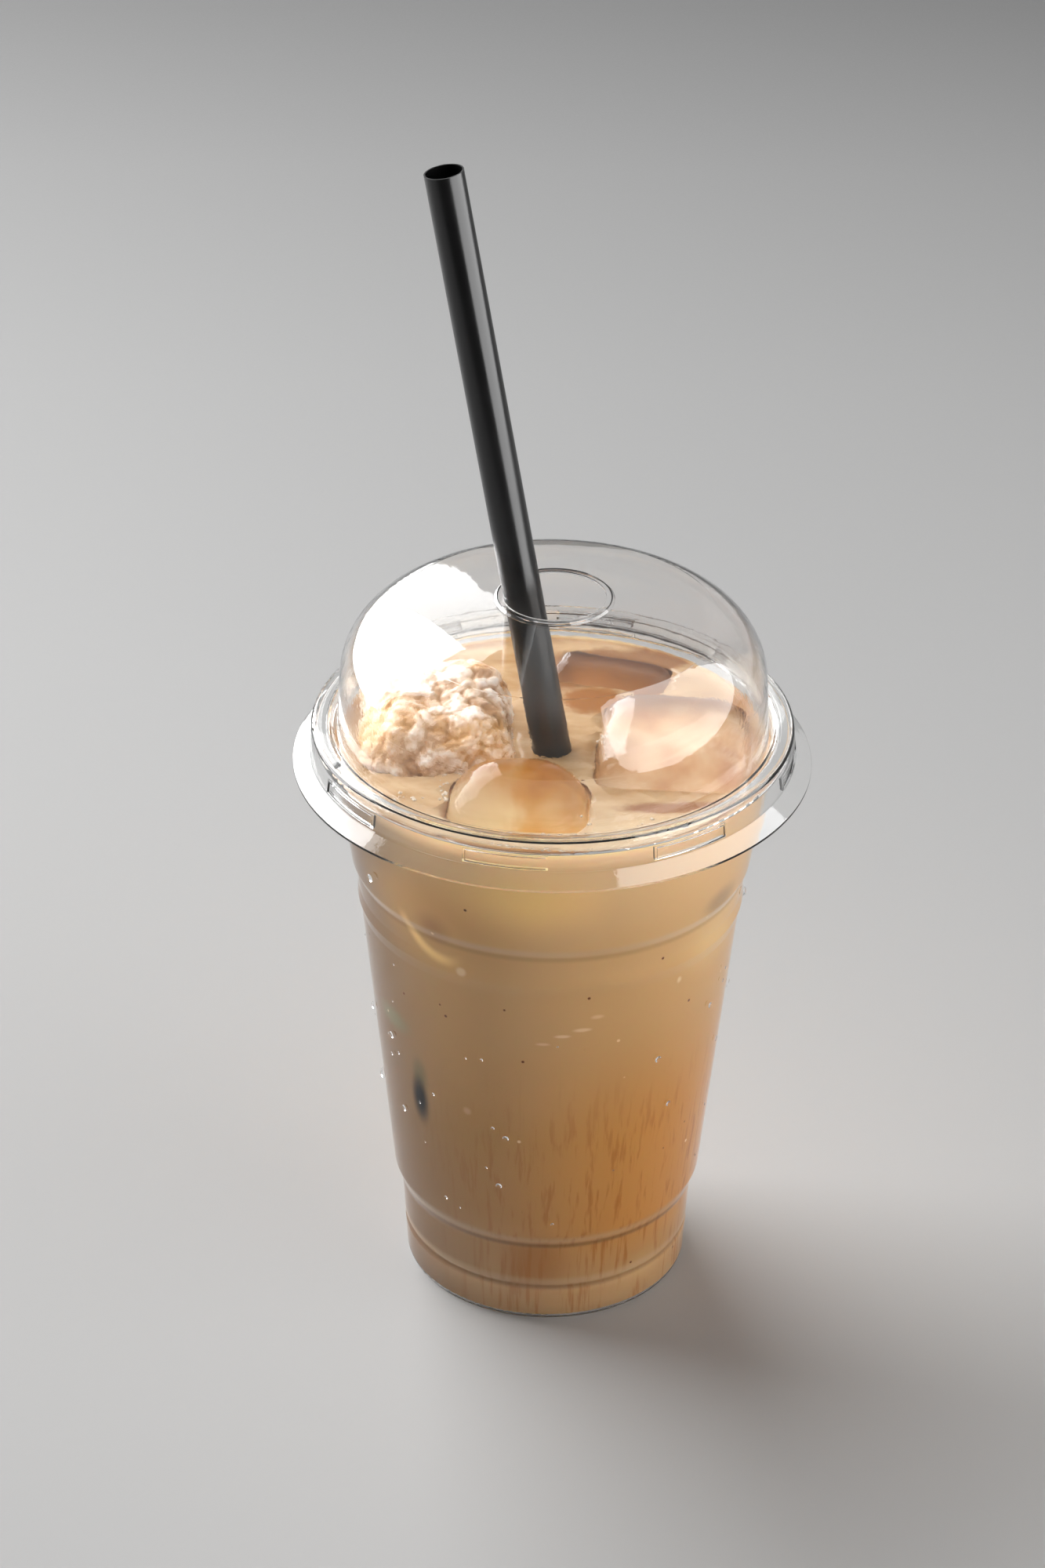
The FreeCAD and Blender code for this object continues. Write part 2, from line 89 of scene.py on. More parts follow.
class Nodes:
    """A material's node tree, with short calls for the nodes that repeat."""

    def __init__(self, name):
        self.material = bpy.data.materials.new(name)
        self.material.use_nodes = True
        self.tree = self.material.node_tree
        self.shader = self.tree.nodes["Principled BSDF"]
        self.output = self.tree.nodes["Material Output"]
        self.place = self.new("ShaderNodeTexCoord").outputs["Object"]

    def new(self, kind, **settings):
        node = self.tree.nodes.new(kind)
        for key, setting in settings.items():
            setattr(node, key, setting)
        return node

    def link(self, source, target):
        self.tree.links.new(source, target)

    def feed(self, socket, source):
        """Put a number, a colour or another node's output on a socket."""
        if hasattr(source, "is_output"):
            self.link(source, socket)
        else:
            socket.default_value = source

    def math(self, kind, a, b=0.0):
        node = self.new("ShaderNodeMath", operation=kind)
        self.feed(node.inputs[0], a)
        self.feed(node.inputs[1], b)
        return node.outputs[0]

    def span(self, source, low, high, to_low=0.0, to_high=1.0):
        """Carry low..high smoothly to another range."""
        node = self.new("ShaderNodeMapRange", interpolation_type="SMOOTHSTEP")
        self.feed(node.inputs["Value"], source)
        node.inputs["From Min"].default_value = low
        node.inputs["From Max"].default_value = high
        node.inputs["To Min"].default_value = to_low
        node.inputs["To Max"].default_value = to_high
        return node.outputs["Result"]

    def mix(self, share, a, b, blend="MIX"):
        node = self.new("ShaderNodeMix", data_type="RGBA", blend_type=blend)
        self.feed(node.inputs["Factor"], share)
        self.feed(node.inputs[6], a)
        self.feed(node.inputs[7], b)
        return node.outputs[2]

    def scaled(self, scale, offset=(0, 0, 0)):
        node = self.new("ShaderNodeMapping")
        node.inputs["Scale"].default_value = scale
        node.inputs["Location"].default_value = offset
        self.link(self.place, node.inputs["Vector"])
        return node.outputs["Vector"]

    def cloud(self, scale, detail=3.0, roughness=0.5, offset=(0, 0, 0)):
        """Noise with features of about 1/scale metres."""
        node = self.new("ShaderNodeTexNoise")
        node.inputs["Scale"].default_value = 1.0
        node.inputs["Detail"].default_value = detail
        node.inputs["Roughness"].default_value = roughness
        self.link(self.scaled(scale if isinstance(scale, tuple) else (scale,) * 3, offset), node.inputs["Vector"])
        return node.outputs["Fac"]

    def ramp(self, source, stops):
        node = self.new("ShaderNodeValToRGB")
        elements = node.color_ramp.elements
        while len(elements) < len(stops):
            elements.new(0.5)
        for element, (position, colour) in zip(elements, stops):
            element.position = position
            element.color = colour
        self.feed(node.inputs["Fac"], source)
        return node.outputs["Color"]

    def away_from(self, point, squash=(1, 1, 1)):
        """Distance from a point, in metres."""
        node = self.new("ShaderNodeVectorMath", operation="DISTANCE")
        self.link(self.scaled(squash), node.inputs[0])
        node.inputs[1].default_value = tuple(p * s for p, s in zip(point, squash))
        return node.outputs["Value"]

    def near(self, point, reach, soft=0.5):
        """1 inside an ellipsoid of the given reach across and up (mm) round a point (mm), fading out."""
        across, up = reach
        away = self.away_from([c * MM for c in point], (1 / (across * MM), 1 / (across * MM), 1 / (up * MM)))
        return self.span(away, 1.0 + soft, 1.0 - soft)

    def specks(self, cell, radius, share, offset=(0, 0, 0)):
        """1 on scattered dots of up to the given radius, in a share of cells of the given size (mm)."""
        node = self.new("ShaderNodeTexVoronoi")
        node.inputs["Scale"].default_value = 1.0
        self.link(self.scaled((1 / (cell * MM),) * 3, offset), node.inputs["Vector"])
        chosen = self.math("LESS_THAN", node.outputs["Color"], share)
        dot = self.span(node.outputs["Distance"], radius / cell, 0.5 * radius / cell)
        return self.math("MULTIPLY", chosen, dot)

    def split(self):
        node = self.new("ShaderNodeSeparateXYZ")
        self.link(self.place, node.inputs[0])
        return node.outputs

    def bump(self, height, depth, strength=1.0):
        node = self.new("ShaderNodeBump")
        node.inputs["Distance"].default_value = depth
        node.inputs["Strength"].default_value = strength
        self.link(height, node.inputs["Height"])
        self.link(node.outputs["Normal"], self.shader.inputs["Normal"])

    def set(self, **values):
        for key, setting in values.items():
            self.feed(self.shader.inputs[key.replace("_", " ")], setting)

    def lets_lamps_through(self, tint):
        """Lamps shine through this clear material: what lies under it isn't in its shadow."""
        through = self.new("ShaderNodeBsdfTransparent")
        through.inputs["Color"].default_value = tint
        path = self.new("ShaderNodeLightPath")
        mix = self.new("ShaderNodeMixShader")
        self.link(path.outputs["Is Shadow Ray"], mix.inputs[0])
        self.link(self.shader.outputs[0], mix.inputs[1])
        self.link(through.outputs[0], mix.inputs[2])
        self.link(mix.outputs[0], self.output.inputs["Surface"])


def wear(thing, made):
    thing.data.materials.clear()
    thing.data.materials.append(made)


# ---------------------------------------------------------------------------------------------------------
# Materials
# ---------------------------------------------------------------------------------------------------------
def clear_plastic(name, tint, ior, ripple_depth, mist_depth=0.0):
    """Thin clear moulded plastic with faint draw marks, and mist on the lower part of a dome."""
    m = Nodes(name)
    m.set(Base_Color=tint, Roughness=0.02, IOR=ior, Transmission_Weight=1.0)
    height = m.math("MULTIPLY", m.cloud((160.0, 160.0, 40.0), 2.0), ripple_depth / MM)
    if mist_depth:
        misted = m.span(m.split()[2], 0.153, 0.143)
        grain = m.math("MULTIPLY", m.cloud(1100.0, 2.0, 0.6), mist_depth / MM)
        height = m.math("ADD", height, m.math("MULTIPLY", misted, grain))
    m.bump(height, 1.0 * MM)
    m.lets_lamps_through((0.97, 0.97, 0.965, 1))
    return m.material


def straw_plastic():
    m = Nodes("BlackStraw")
    m.set(Base_Color=srgb(24, 24, 25), Roughness=m.span(m.cloud(60.0), 0.3, 0.7, 0.2, 0.26))
    m.bump(m.cloud((500.0, 500.0, 30.0)), 0.004 * MM)
    return m.material


LEVEL = 121.5 * MM


# What shows through the wall of the cup: place (mm), reach across and up (mm), softness, colour, strength.
SIDE_MARKS = [
    ((-22.0, -36.0, 101.0), (15.0, 9.0), 0.8, srgb(226, 178, 112), 0.7),        # amber beside the ice
    ((-23.6, -33.1, 98.0), (3.2, 3.2), 0.8, srgb(180, 130, 88), 0.6),
    ((-6.0, -42.0, 111.0), (12.0, 7.0), 0.85, srgb(255, 214, 142), 1.0),        # light that comes through the ice
    # painted glow on the right, where light comes through an ice piece at the wall
    ((33.5, -22.0, 91.5), (8.0, 7.0), 0.8, srgb(236, 204, 150), 0.7),
    ((33.9, -22.8, 99.5), (4.5, 2.6), 0.7, srgb(168, 138, 112), 0.6),           # dim corner of an ice piece
    ((-31.7, -18.7, 68.0), (4.5, 2.2), 0.7, srgb(140, 142, 112), 0.6),
    ((-26.2, -24.0, 57.5), (1.8, 3.4), 0.7, srgb(104, 104, 72), 0.6),
    ((-26.2, -23.2, 51.0), (2.1, 5.2), 0.6, srgb(20, 13, 16), 1.0),             # dark spot
    ((-2.0, -30.0, 15.0), (6.0, 6.5), 0.7, srgb(184, 120, 52), 0.6),            # strong coffee run down
    ((20.0, -23.0, 9.0), (6.0, 3.0), 0.7, srgb(214, 178, 128), 0.6),
    ((-1.3, -37.4, 74.0), (1.3, 0.35), 0.5, srgb(240, 206, 160), 0.8),
    ((2.6, -37.6, 76.0), (1.5, 0.4), 0.5, srgb(244, 214, 170), 0.9),
    ((6.6, -37.2, 77.4), (1.7, 0.45), 0.5, srgb(244, 214, 170), 0.9),
    ((9.6, -37.0, 80.4), (1.3, 0.5), 0.5, srgb(240, 206, 160), 0.8),
    ((-17.7, -34.8, 89.5), (1.0, 0.9), 0.5, srgb(246, 220, 180), 0.9),
    ((26.0, -28.4, 84.0), (0.6, 0.8), 0.5, srgb(250, 226, 186), 0.9),
    ((-16.5, -31.1, 53.5), (0.9, 0.9), 0.5, srgb(232, 196, 150), 0.6),
]


def milky_coffee():
    """Milk high in the cup with painted light at its top, coffee settling low on the right, drawn into streaks."""
    m = Nodes("MilkyCoffee")
    across, _, height = m.split()
    sway = m.math("MULTIPLY", m.math("SUBTRACT", m.cloud(28.0, 2.0), 0.5), 0.2)
    # Darker and more orange low down, lighter towards the top; the light top is partly painted light coming down
    # through the ice.
    body = m.ramp(m.math("ADD", m.span(height, -0.02, 0.142), sway), [
        (0.06, srgb(206, 168, 124)),
        (0.20, srgb(198, 152, 94)),
        (0.36, srgb(201, 156, 92)),
        (0.52, srgb(212, 168, 110)),
        (0.78, srgb(222, 182, 128)),
        (0.96, srgb(236, 200, 150)),
    ])
    right = m.span(across, -0.02, 0.026)
    low = m.math("MULTIPLY", m.span(height, 0.008, 0.024), m.span(height, 0.076, 0.045))
    settled = m.math("MULTIPLY", right, low)
    colour = m.mix(m.math("MULTIPLY", settled, 0.55), body, srgb(226, 156, 68))
    streak = m.cloud((800.0, 800.0, 42.0), 4.0, 0.6)
    drawn = m.math("MULTIPLY", m.span(streak, 0.5, 0.66), m.span(height, 0.07, 0.035))
    share = m.math("MULTIPLY", drawn, m.span(across, -0.03, 0.012, 0.15, 0.6))
    colour = m.mix(share, colour, srgb(176, 106, 36))
    # Painted shade: the left side of the drink darker and greyer, the line leaning with height.
    edge = m.math("ADD", across, m.math("MULTIPLY", height, 0.117))
    colour = m.mix(m.span(edge, -0.007, -0.029), colour, srgb(122, 96, 74))
    for place, reach, soft, mark, strength in SIDE_MARKS:
        share = m.math("MULTIPLY", m.near(place, reach, soft), strength)
        colour = m.mix(share, colour, mark)
    # Painted light: a pale rim along the lower edge of an ice piece that touches the wall.
    edge = m.away_from((-0.0215, -0.034, 0.101), (1 / 0.0098, 1 / 0.0098, 1 / 0.0098))
    lit_ice_rim = m.math("MULTIPLY", m.span(edge, 0.82, 1.0), m.span(edge, 1.22, 1.02))
    below = m.math("MULTIPLY", m.span(height, 0.101, 0.096), m.span(across, -0.0165, -0.022))
    colour = m.mix(m.math("MULTIPLY", lit_ice_rim, below), colour, srgb(255, 218, 150))
    # Where the wall steps: painted shade in the drink under the step and a painted highlight over it.
    for step, step_shade in ((0.0956, 0.2), (0.0200, 0.5), (0.0086, 0.45)):
        line = m.math("MULTIPLY", m.span(height, step - 0.0013, step - 0.0002), m.span(height, step + 0.0009, step))
        colour = m.mix(m.math("MULTIPLY", line, step_shade), colour, srgb(112, 76, 44))
        line = m.math("MULTIPLY", m.span(height, step, step + 0.0012), m.span(height, step + 0.003, step + 0.0014))
        colour = m.mix(m.math("MULTIPLY", line, 0.35), colour, srgb(224, 200, 168))
    colour = m.mix(m.specks(6.5, 0.42, 0.5), colour, srgb(120, 66, 28))
    colour = m.mix(m.specks(9.0, 0.5, 0.4, (3.7, 1.9, 0.4)), colour, srgb(246, 216, 170))
    m.set(
        Base_Color=colour, Roughness=0.3, IOR=1.34,
        Subsurface_Weight=0.35, Subsurface_Radius=(1.0, 0.5, 0.25), Subsurface_Scale=2.5 * MM,
    )
    return m.material


def under_ice():
    """Coffee seen through ice: painted shade as a brown line where the ice leaves the drink, amber and milk below."""
    m = Nodes("CoffeeUnderIce")
    depth = m.math("SUBTRACT", LEVEL, m.split()[2])
    patch = m.cloud(95.0, 3.0, 0.55)
    pool = m.ramp(patch, [
        (0.34, srgb(170, 118, 72)),
        (0.46, srgb(186, 142, 98)),
        (0.60, srgb(200, 164, 126)),
        (0.74, srgb(214, 186, 154)),
    ])
    amber = m.ramp(m.cloud(85.0, 3.0), [(0.38, srgb(196, 124, 44)), (0.52, srgb(230, 172, 90)), (0.68, srgb(250, 222, 168))])
    pool = m.mix(m.near((-6.5, -23.0, 116.0), (12.0, 12.0), 0.4), pool, amber)
    pool = m.mix(m.near((12.6, 30.0, 118.0), (17.0, 8.0), 0.4), pool, srgb(150, 98, 50))
    # Painted shade: dark brown just under the level, where the ice leaves the drink.
    colour = m.mix(m.span(depth, 0.3 * MM, 2.2 * MM), srgb(92, 58, 34), pool)
    m.set(Base_Color=colour, Roughness=0.35, IOR=1.34,
          Subsurface_Weight=0.3, Subsurface_Radius=(1.0, 0.6, 0.35), Subsurface_Scale=2.5 * MM)
    return m.material


# Places on the drink's surface where clear coffee lies on the milk: X, Y, reach along X and Y, in mm.
POOLS = [
    ((8.5, 19.0), (6.5, 6.0), srgb(138, 84, 22)),
    ((15.0, 35.5), (20.0, 4.6), srgb(136, 94, 58)),
    ((1.5, 26.5), (9.5, 4.5), srgb(132, 88, 48)),
    ((26.0, -24.0), (13.0, 2.6), srgb(140, 98, 68)),
    ((27.0, 14.0), (12.0, 5.0), srgb(160, 124, 88)),
    ((-19.0, -27.0), (3.0, 6.0), srgb(150, 112, 82)),
    ((38.0, 4.0), (4.5, 20.0), srgb(158, 116, 78)),
]


def coffee_top():
    """The drink's surface: pale milk with clear coffee in pools and drawn-out swirls."""
    m = Nodes("CoffeeTop")
    warp = m.math("MULTIPLY", m.math("SUBTRACT", m.cloud(150.0, 4.0, 0.6), 0.5), 1.3)
    swirl = m.ramp(m.cloud((48.0, 120.0, 60.0), 4.0, 0.6), [
        (0.36, srgb(158, 121, 80)),
        (0.50, srgb(175, 142, 103)),
        (0.66, srgb(193, 164, 129)),
    ])
    colour = m.mix(m.span(m.split()[1], -0.018, -0.034), swirl, srgb(192, 167, 136))
    for (x, y), (reach_x, reach_y), pool in POOLS:
        away = m.away_from((x * MM, y * MM, LEVEL), (1 / (reach_x * MM), 1 / (reach_y * MM), 1))
        colour = m.mix(m.span(m.math("ADD", away, warp), 1.15, 0.6), colour, pool)
    m.set(Base_Color=colour, Roughness=0.22, IOR=1.34,
          Subsurface_Weight=0.3, Subsurface_Radius=(1.0, 0.6, 0.35), Subsurface_Scale=2.5 * MM)
    m.bump(m.cloud(140.0, 2.0), 0.15 * MM)
    return m.material


def ice_glass(name, tint, roughness, depth):
    m = Nodes(name)
    m.set(Base_Color=tint, Roughness=roughness, IOR=1.31, Transmission_Weight=1.0)
    m.bump(m.cloud(260.0, 3.0), depth)
    m.lets_lamps_through((0.93, 0.9, 0.86, 1))
    return m.material


# ---------------------------------------------------------------------------------------------------------
# Ice
# ---------------------------------------------------------------------------------------------------------
# Length, width, height, draft, edge radius, middle of the top above the drink, turn, tilts (mm and degrees),
# then the depth of the melt dents and of the crinkles.
ICE = {
    "ice_left": (32.0, 35.0, 20.0, 4.0, 9.0, (-24.4, 3.8, 8.9), 4.0, 4.0, -6.0, 1.3, 1.15),
    "ice_front": (30.0, 26.0, 24.0, 4.0, 11.9, (-6.5, -24.0, 8.0), -3.0, 3.0, 1.0, 0.4, 0.0),
    "ice_right": (31.0, 36.0, 20.0, 3.0, 8.0, (24.4, 0.0, 4.5), -4.0, 3.0, 3.0, 0.8, 0.06),
    "ice_back": (25.0, 12.5, 19.0, 4.0, 4.5, (12.6, 29.4, 2.7), -14.0, -4.0, 3.0, 0.6, 0.12),
}


def ice_mesh(name, numbers, cells, shrink=0.0, sunk=None):
    """A melted block: a drafted box with round edges, dented and crinkled, on a net of square cells.

    With sunk it is the plain block that the drink is cut by, that far below the level.
    """
    long, wide, tall, draft, edge, place, turn, tilt_x, tilt_y, dent, crinkle = numbers
    if sunk:
        tall = place[2] + sunk
        edge = min(edge, tall / 2 - 0.1)
    half = Vector((long / 2 - shrink, wide / 2 - shrink, tall / 2 - shrink))
    edge = edge - shrink
    grid, index, faces = [], {}, []

    def corner(i, j, k):
        key = (i, j, k)
        if key not in index:
            index[key] = len(grid)
            grid.append(key)
        return index[key]

    for axis in range(3):
        u, v = (axis + 1) % 3, (axis + 2) % 3
        for side in (0, cells):
            for a in range(cells):
                for b in range(cells):
                    ring = []
                    for da, db in ((0, 0), (1, 0), (1, 1), (0, 1)):
                        point = [0, 0, 0]
                        point[axis], point[u], point[v] = side, a + da, b + db
                        ring.append(corner(*point))
                    faces.append(ring if side else ring[::-1])
    turned = (
        Matrix.Rotation(math.radians(turn), 3, "Z")
        @ Matrix.Rotation(math.radians(tilt_x), 3, "X")
        @ Matrix.Rotation(math.radians(tilt_y), 3, "Y")
    )
    offset = Vector((place[0], place[1], place[2] + LEVEL / MM))
    seed = Vector((len(name) * 7.3, half.x * 1.7, half.y * 2.9))
    vertices, crests = [], []
    for key in grid:
        p = Vector([(2 * c / cells - 1) * h for c, h in zip(key, half)])
        core = Vector([min(h - edge, max(edge - h, c)) for c, h in zip(p, half)])
        normal = (p - core)
        normal = normal.normalized() if normal.length > 1e-6 else Vector((0, 0, 1))
        p = core + normal * edge
        p += normal * dent * (noise.noise(p / 9.0 + seed) - 0.15)
        crest = 0.5
        if crinkle and not sunk:
            bent = p + 2.6 * noise.noise_vector(p / 5.5 + seed)
            large = noise.voronoi(bent / 3.7 + seed)[0][0]
            small = noise.voronoi(bent / 1.8 - seed)[0][0]
            crest = 1.05 - 0.75 * large ** 2 - 0.45 * small ** 2 + 0.12 * noise.fractal(p / 0.9 + seed, 0.8, 2.1, 3)
            p += normal * crinkle * (crest - 0.5)
        crests.append(crest)
        taper = 1 - math.tan(math.radians(draft)) * (half.z - p.z) / max(half.x, half.y)
        p = Vector((p.x * taper, p.y * taper, p.z - tall / 2))
        vertices.append((turned @ p + offset) * MM)
    block = mesh_object(name, vertices, faces)
    block.data.attributes.new("crest", "FLOAT", "POINT").data.foreach_set("value", crests)
    return block


def frosted_ice():
    """Cloudy crushed ice: painted highlights where it stands up, painted shade and coffee in the hollows between."""
    m = Nodes("FrostedIce")
    crest = m.new("ShaderNodeAttribute", attribute_name="crest").outputs["Fac"]
    # Painted highlight on the crests and painted shade in the hollows, the hollows also browned by coffee.
    lit_crests_shaded_hollows = m.ramp(m.math("ADD", crest, m.math("MULTIPLY", m.math("SUBTRACT", m.cloud(140.0, 3.0), 0.5), 0.9)), [
        (0.10, srgb(138, 96, 58)),
        (0.42, srgb(180, 138, 98)),
        (0.66, srgb(206, 174, 144)),
        (0.92, srgb(238, 224, 212)),
    ])
    tea = m.math("MULTIPLY", m.span(m.cloud(62.0, 2.0), 0.48, 0.62), 0.6)
    left = m.near((-37.0, -2.0, 124.0), (9.0, 9.0), 0.6)
    colour = m.mix(m.math("MAXIMUM", tea, left), lit_crests_shaded_hollows, m.mix(0.6, lit_crests_shaded_hollows, srgb(226, 168, 84)))
    m.set(Base_Color=colour, Roughness=m.span(crest, 0.2, 0.9, 0.18, 0.32), IOR=1.31, Transmission_Weight=0.12,
          Subsurface_Weight=0.5, Subsurface_Radius=(1.0, 0.7, 0.5), Subsurface_Scale=2.5 * MM)
    m.bump(m.cloud(900.0, 4.0, 0.6), 0.25 * MM)
    m.lets_lamps_through((0.93, 0.9, 0.86, 1))
    return m.material


ICE_LOOK = {
    "ice_left": frosted_ice(),
    "ice_front": ice_glass("ClearIce", (0.985, 0.97, 0.95, 1), 0.03, 0.05 * MM),
    "ice_right": ice_glass("SmoothIce", (0.98, 0.96, 0.93, 1), 0.07, 0.12 * MM),
    "ice_back": ice_glass("WetIce", (0.98, 0.94, 0.89, 1), 0.08, 0.15 * MM),
}


def make_ice():
    for name, numbers in ICE.items():
        piece = ice_mesh(f"{name}_piece", numbers, 90 if numbers[-1] > 0.5 else 48)
        wear(piece, ICE_LOOK[name])
        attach(piece, "root")
        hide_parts(name)


def bead_mesh(name, places, rings=5, steps=14):
    """Half-round beads joined in one mesh, each given by its foot, the way it faces, radius and height."""
    vertices, faces = [], []
    for foot, facing, radius, height in places:
        first = len(vertices)
        turn = Vector(facing).normalized().to_track_quat("Z", "Y")
        foot = Vector(foot)
        for ring in range(rings):
            a = 0.5 * math.pi * ring / rings
            for k in range(steps):
                b = 2 * math.pi * k / steps
                local = Vector((radius * math.cos(a) * math.cos(b), radius * math.cos(a) * math.sin(b), height * math.sin(a)))
                vertices.append((foot + turn @ local) * MM)
        vertices.append((foot + turn @ Vector((0, 0, height))) * MM)
        vertices.append(foot * MM)
        top, middle = len(vertices) - 2, len(vertices) - 1
        for k in range(steps):
            n = (k + 1) % steps
            for ring in range(rings - 1):
                a = first + ring * steps
                faces.append((a + k, a + n, a + steps + n, a + steps + k))
            last = first + (rings - 1) * steps
            faces.append((last + k, last + n, top))
            faces.append((first + n, first + k, middle))
    return mesh_object(name, vertices, faces)


def wall_radius(height):
    """Outside of the cup's wall at a height, in mm."""
    stations = [(0.0, 29.3), (19.0, 30.45), (23.6, 32.1), (86.0, 39.2), (95.0, 40.0), (98.5, 41.3), (120.0, 45.0)]
    for (low, r_low), (high, r_high) in zip(stations, stations[1:]):
        if height <= high:
            return r_low + (r_high - r_low) * (height - low) / (high - low)
    return stations[-1][1]


def make_beads():
    """Dew on the cup, and bubbles on the drink."""
    draw = random.Random(11)
    dew = []
    for _ in range(60):
        azimuth, height = math.radians(draw.uniform(-180, 180)), draw.uniform(26, 84)
        radius = draw.uniform(0.18, 0.42) if draw.random() < 0.85 else draw.uniform(0.45, 0.8)
        reach = wall_radius(height) + 0.03
        out = Vector((math.cos(azimuth), math.sin(azimuth), -0.08))
        dew.append(((reach * out.x, reach * out.y, height), out, radius, 0.28 * radius))
    for azimuth, height, radius in ((-149, 103.0, 0.9), (-8, 91.0, 0.9), (-176, 43.5, 1.2), (-172, 62.0, 0.8)):
        reach = wall_radius(height) + 0.05
        out = Vector((math.cos(math.radians(azimuth)), math.sin(math.radians(azimuth)), -0.08))
        dew.append(((reach * out.x, reach * out.y, height), out, radius, 0.5 * radius))
    water = ice_glass("Dew", (1, 1, 1, 1), 0.0, 0.0)
    piece = bead_mesh("cup_dew", dew)
    wear(piece, water)
    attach(piece, "root")
    bubbles = []
    clusters = [((-4.0, -37.5), (9.0, 1.2), 26), ((3.5, -35.5), (5.0, 1.6), 22), ((-21.5, -18.0), (1.5, 7.0), 14),
                ((10.5, 2.0), (1.5, 4.0), 12), ((20.0, -30.5), (9.0, 2.0), 16), ((-30.0, -22.0), (4.0, 2.5), 10)]
    for (x, y), (reach_x, reach_y), count in clusters:
        for _ in range(count):
            px, py = draw.gauss(x, reach_x / 2), draw.gauss(y, reach_y / 2)
            radius = draw.uniform(0.18, 0.5)
            if math.hypot(px, py) > 42.0:
                continue
            bubbles.append(((px, py, LEVEL / MM + 0.02), (0, 0, 1), radius, 0.6 * radius))
    piece = bead_mesh("bubbles", bubbles, 4, 12)
    m = Nodes("Froth")
    m.set(Base_Color=m.mix(m.cloud(900.0), srgb(226, 204, 178), srgb(246, 234, 218)), Roughness=0.15, IOR=1.33,
          Transmission_Weight=0.4)
    wear(piece, m.material)
    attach(piece, "root")


# ---------------------------------------------------------------------------------------------------------
# Drink
# ---------------------------------------------------------------------------------------------------------
def drink_outline():
    """The inside of the cup, reached into its wall, with a meniscus at the top."""
    reach = 0.4
    stations = [
        (29.3, 1.5), (29.6, 7.8), (29.3, 8.8), (29.95, 9.8), (30.45, 19.0), (30.9, 20.6), (31.6, 22.2),
        (32.05, 23.6), (38.75, 86.0), (39.4, 88.6), (39.4, 91.2), (39.8, 95.6), (40.2, 96.8), (40.7, 98.2),
    ]
    slope = (45.05 - 40.7) / (125.5 - 98.0)
    for height in (104.0, 110.0, 116.0, 119.0):
        stations.append((40.7 + slope * (height - 98.0), height))
    points = [(0.0, 3.7), (24.0, 3.7), (26.5, 0.75), (28.2, 0.72)]
    points += [(radius - reach, height) for radius, height in stations]
    level = LEVEL / MM
    wall = 40.7 + slope * (level - 98.0) - reach
    for out, rise in ((0.0, 1.1), (0.35, 0.55), (0.9, 0.22), (1.8, 0.05), (3.0, 0.0)):
        points.append((wall - out, level + rise))
    for radius in (36.0, 30.0, 24.0, 18.0, 12.0, 6.0):
        points.append((radius, level))
    points.append((0.0, level))
    return [(radius * MM, height * MM) for radius, height in points]


def carve(solid, tools):
    """Cut a mesh by others."""
    for tool in tools:
        cut = solid.modifiers.new(tool.name, "BOOLEAN")
        cut.operation = "DIFFERENCE"
        cut.solver = "EXACT"
        cut.object = tool
    mesh = bpy.data.meshes.new_from_object(solid.evaluated_get(bpy.context.evaluated_depsgraph_get()))
    solid.modifiers.clear()
    solid.data = mesh


# How far under the level the drink is hollowed below each ice piece, in mm.
HOLLOW = {"ice_left": 4.5, "ice_front": 9.0, "ice_right": 4.5, "ice_back": 3.5}


def make_drink():
    drink = lathe("drink_fill", drink_outline())
    cutters = [ice_mesh(f"{name}_cut", numbers, 20, 0.3, HOLLOW[name]) for name, numbers in ICE.items()]
    carve(drink, cutters)
    mesh = drink.data
    mesh.materials.clear()
    for made in (milky_coffee(), under_ice(), coffee_top()):
        mesh.materials.append(made)
    for face in mesh.polygons:
        middle = face.center
        out = math.hypot(middle.x, middle.y)
        wall = 38.5 * MM + (middle.z - 95 * MM) * 0.15
        if middle.z > LEVEL - 0.1 * MM:
            face.material_index = 2
        else:
            face.material_index = 1 if out < wall and middle.z > 100 * MM else 0
        face.use_smooth = True
    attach(drink, "root")
    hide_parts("drink")
    for tool in cutters:
        bpy.data.objects.remove(tool)


# ---------------------------------------------------------------------------------------------------------
# Stage: floor, lamps, camera
# ---------------------------------------------------------------------------------------------------------
def make_floor():
    reach = 4.0
    corners = [(-reach, -reach, -0.0001), (reach, -reach, -0.0001), (reach, reach, -0.0001), (-reach, reach, -0.0001)]
    floor = mesh_object("Floor", corners, [(0, 1, 2, 3)])
    m = Nodes("Floor")
    grain = m.math("MULTIPLY", m.math("SUBTRACT", m.cloud(1500.0, 2.0), 0.5), 0.03)
    # Painted shade: the floor darker towards the back, standing in for the light falling off.
    floor_painted_falloff = m.ramp(m.math("ADD", m.span(m.split()[1], -0.1, 1.0), grain), [
        (0.00, srgb(204, 204, 204)),
        (0.10, srgb(201, 201, 201)),
        (0.24, srgb(193, 193, 193)),
        (0.45, srgb(178, 178, 178)),
        (0.66, srgb(157, 157, 157)),
        (0.86, srgb(124, 124, 124)),
        (1.00, srgb(98, 98, 98)),
    ])
    # Painted reflection: rays from mirrors see the far front of the floor dark grey.
    mirrored = m.new("ShaderNodeLightPath").outputs["Is Glossy Ray"]
    painted_dark_reflection = m.math("MULTIPLY", mirrored, m.span(m.split()[1], -0.37, -0.43))
    m.set(Roughness=0.9, Specular_IOR_Level=0.1, Base_Color=m.mix(painted_dark_reflection, floor_painted_falloff, srgb(60, 60, 60)))
    wear(floor, m.material)


def lamp(name, place, aim, shape, size, power, colour, gloss=True, fill=True):
    light = bpy.data.lights.new(name, "AREA")
    light.shape = shape
    light.size, light.size_y = size
    light.energy = power
    light.color = colour
    thing = link_object(name, light)
    thing.location = place
    thing.rotation_euler = (Vector(place) - Vector(aim)).to_track_quat("Z", "Y").to_euler()
    thing.visible_glossy = gloss
    thing.visible_diffuse = fill
    thing.visible_transmission = fill


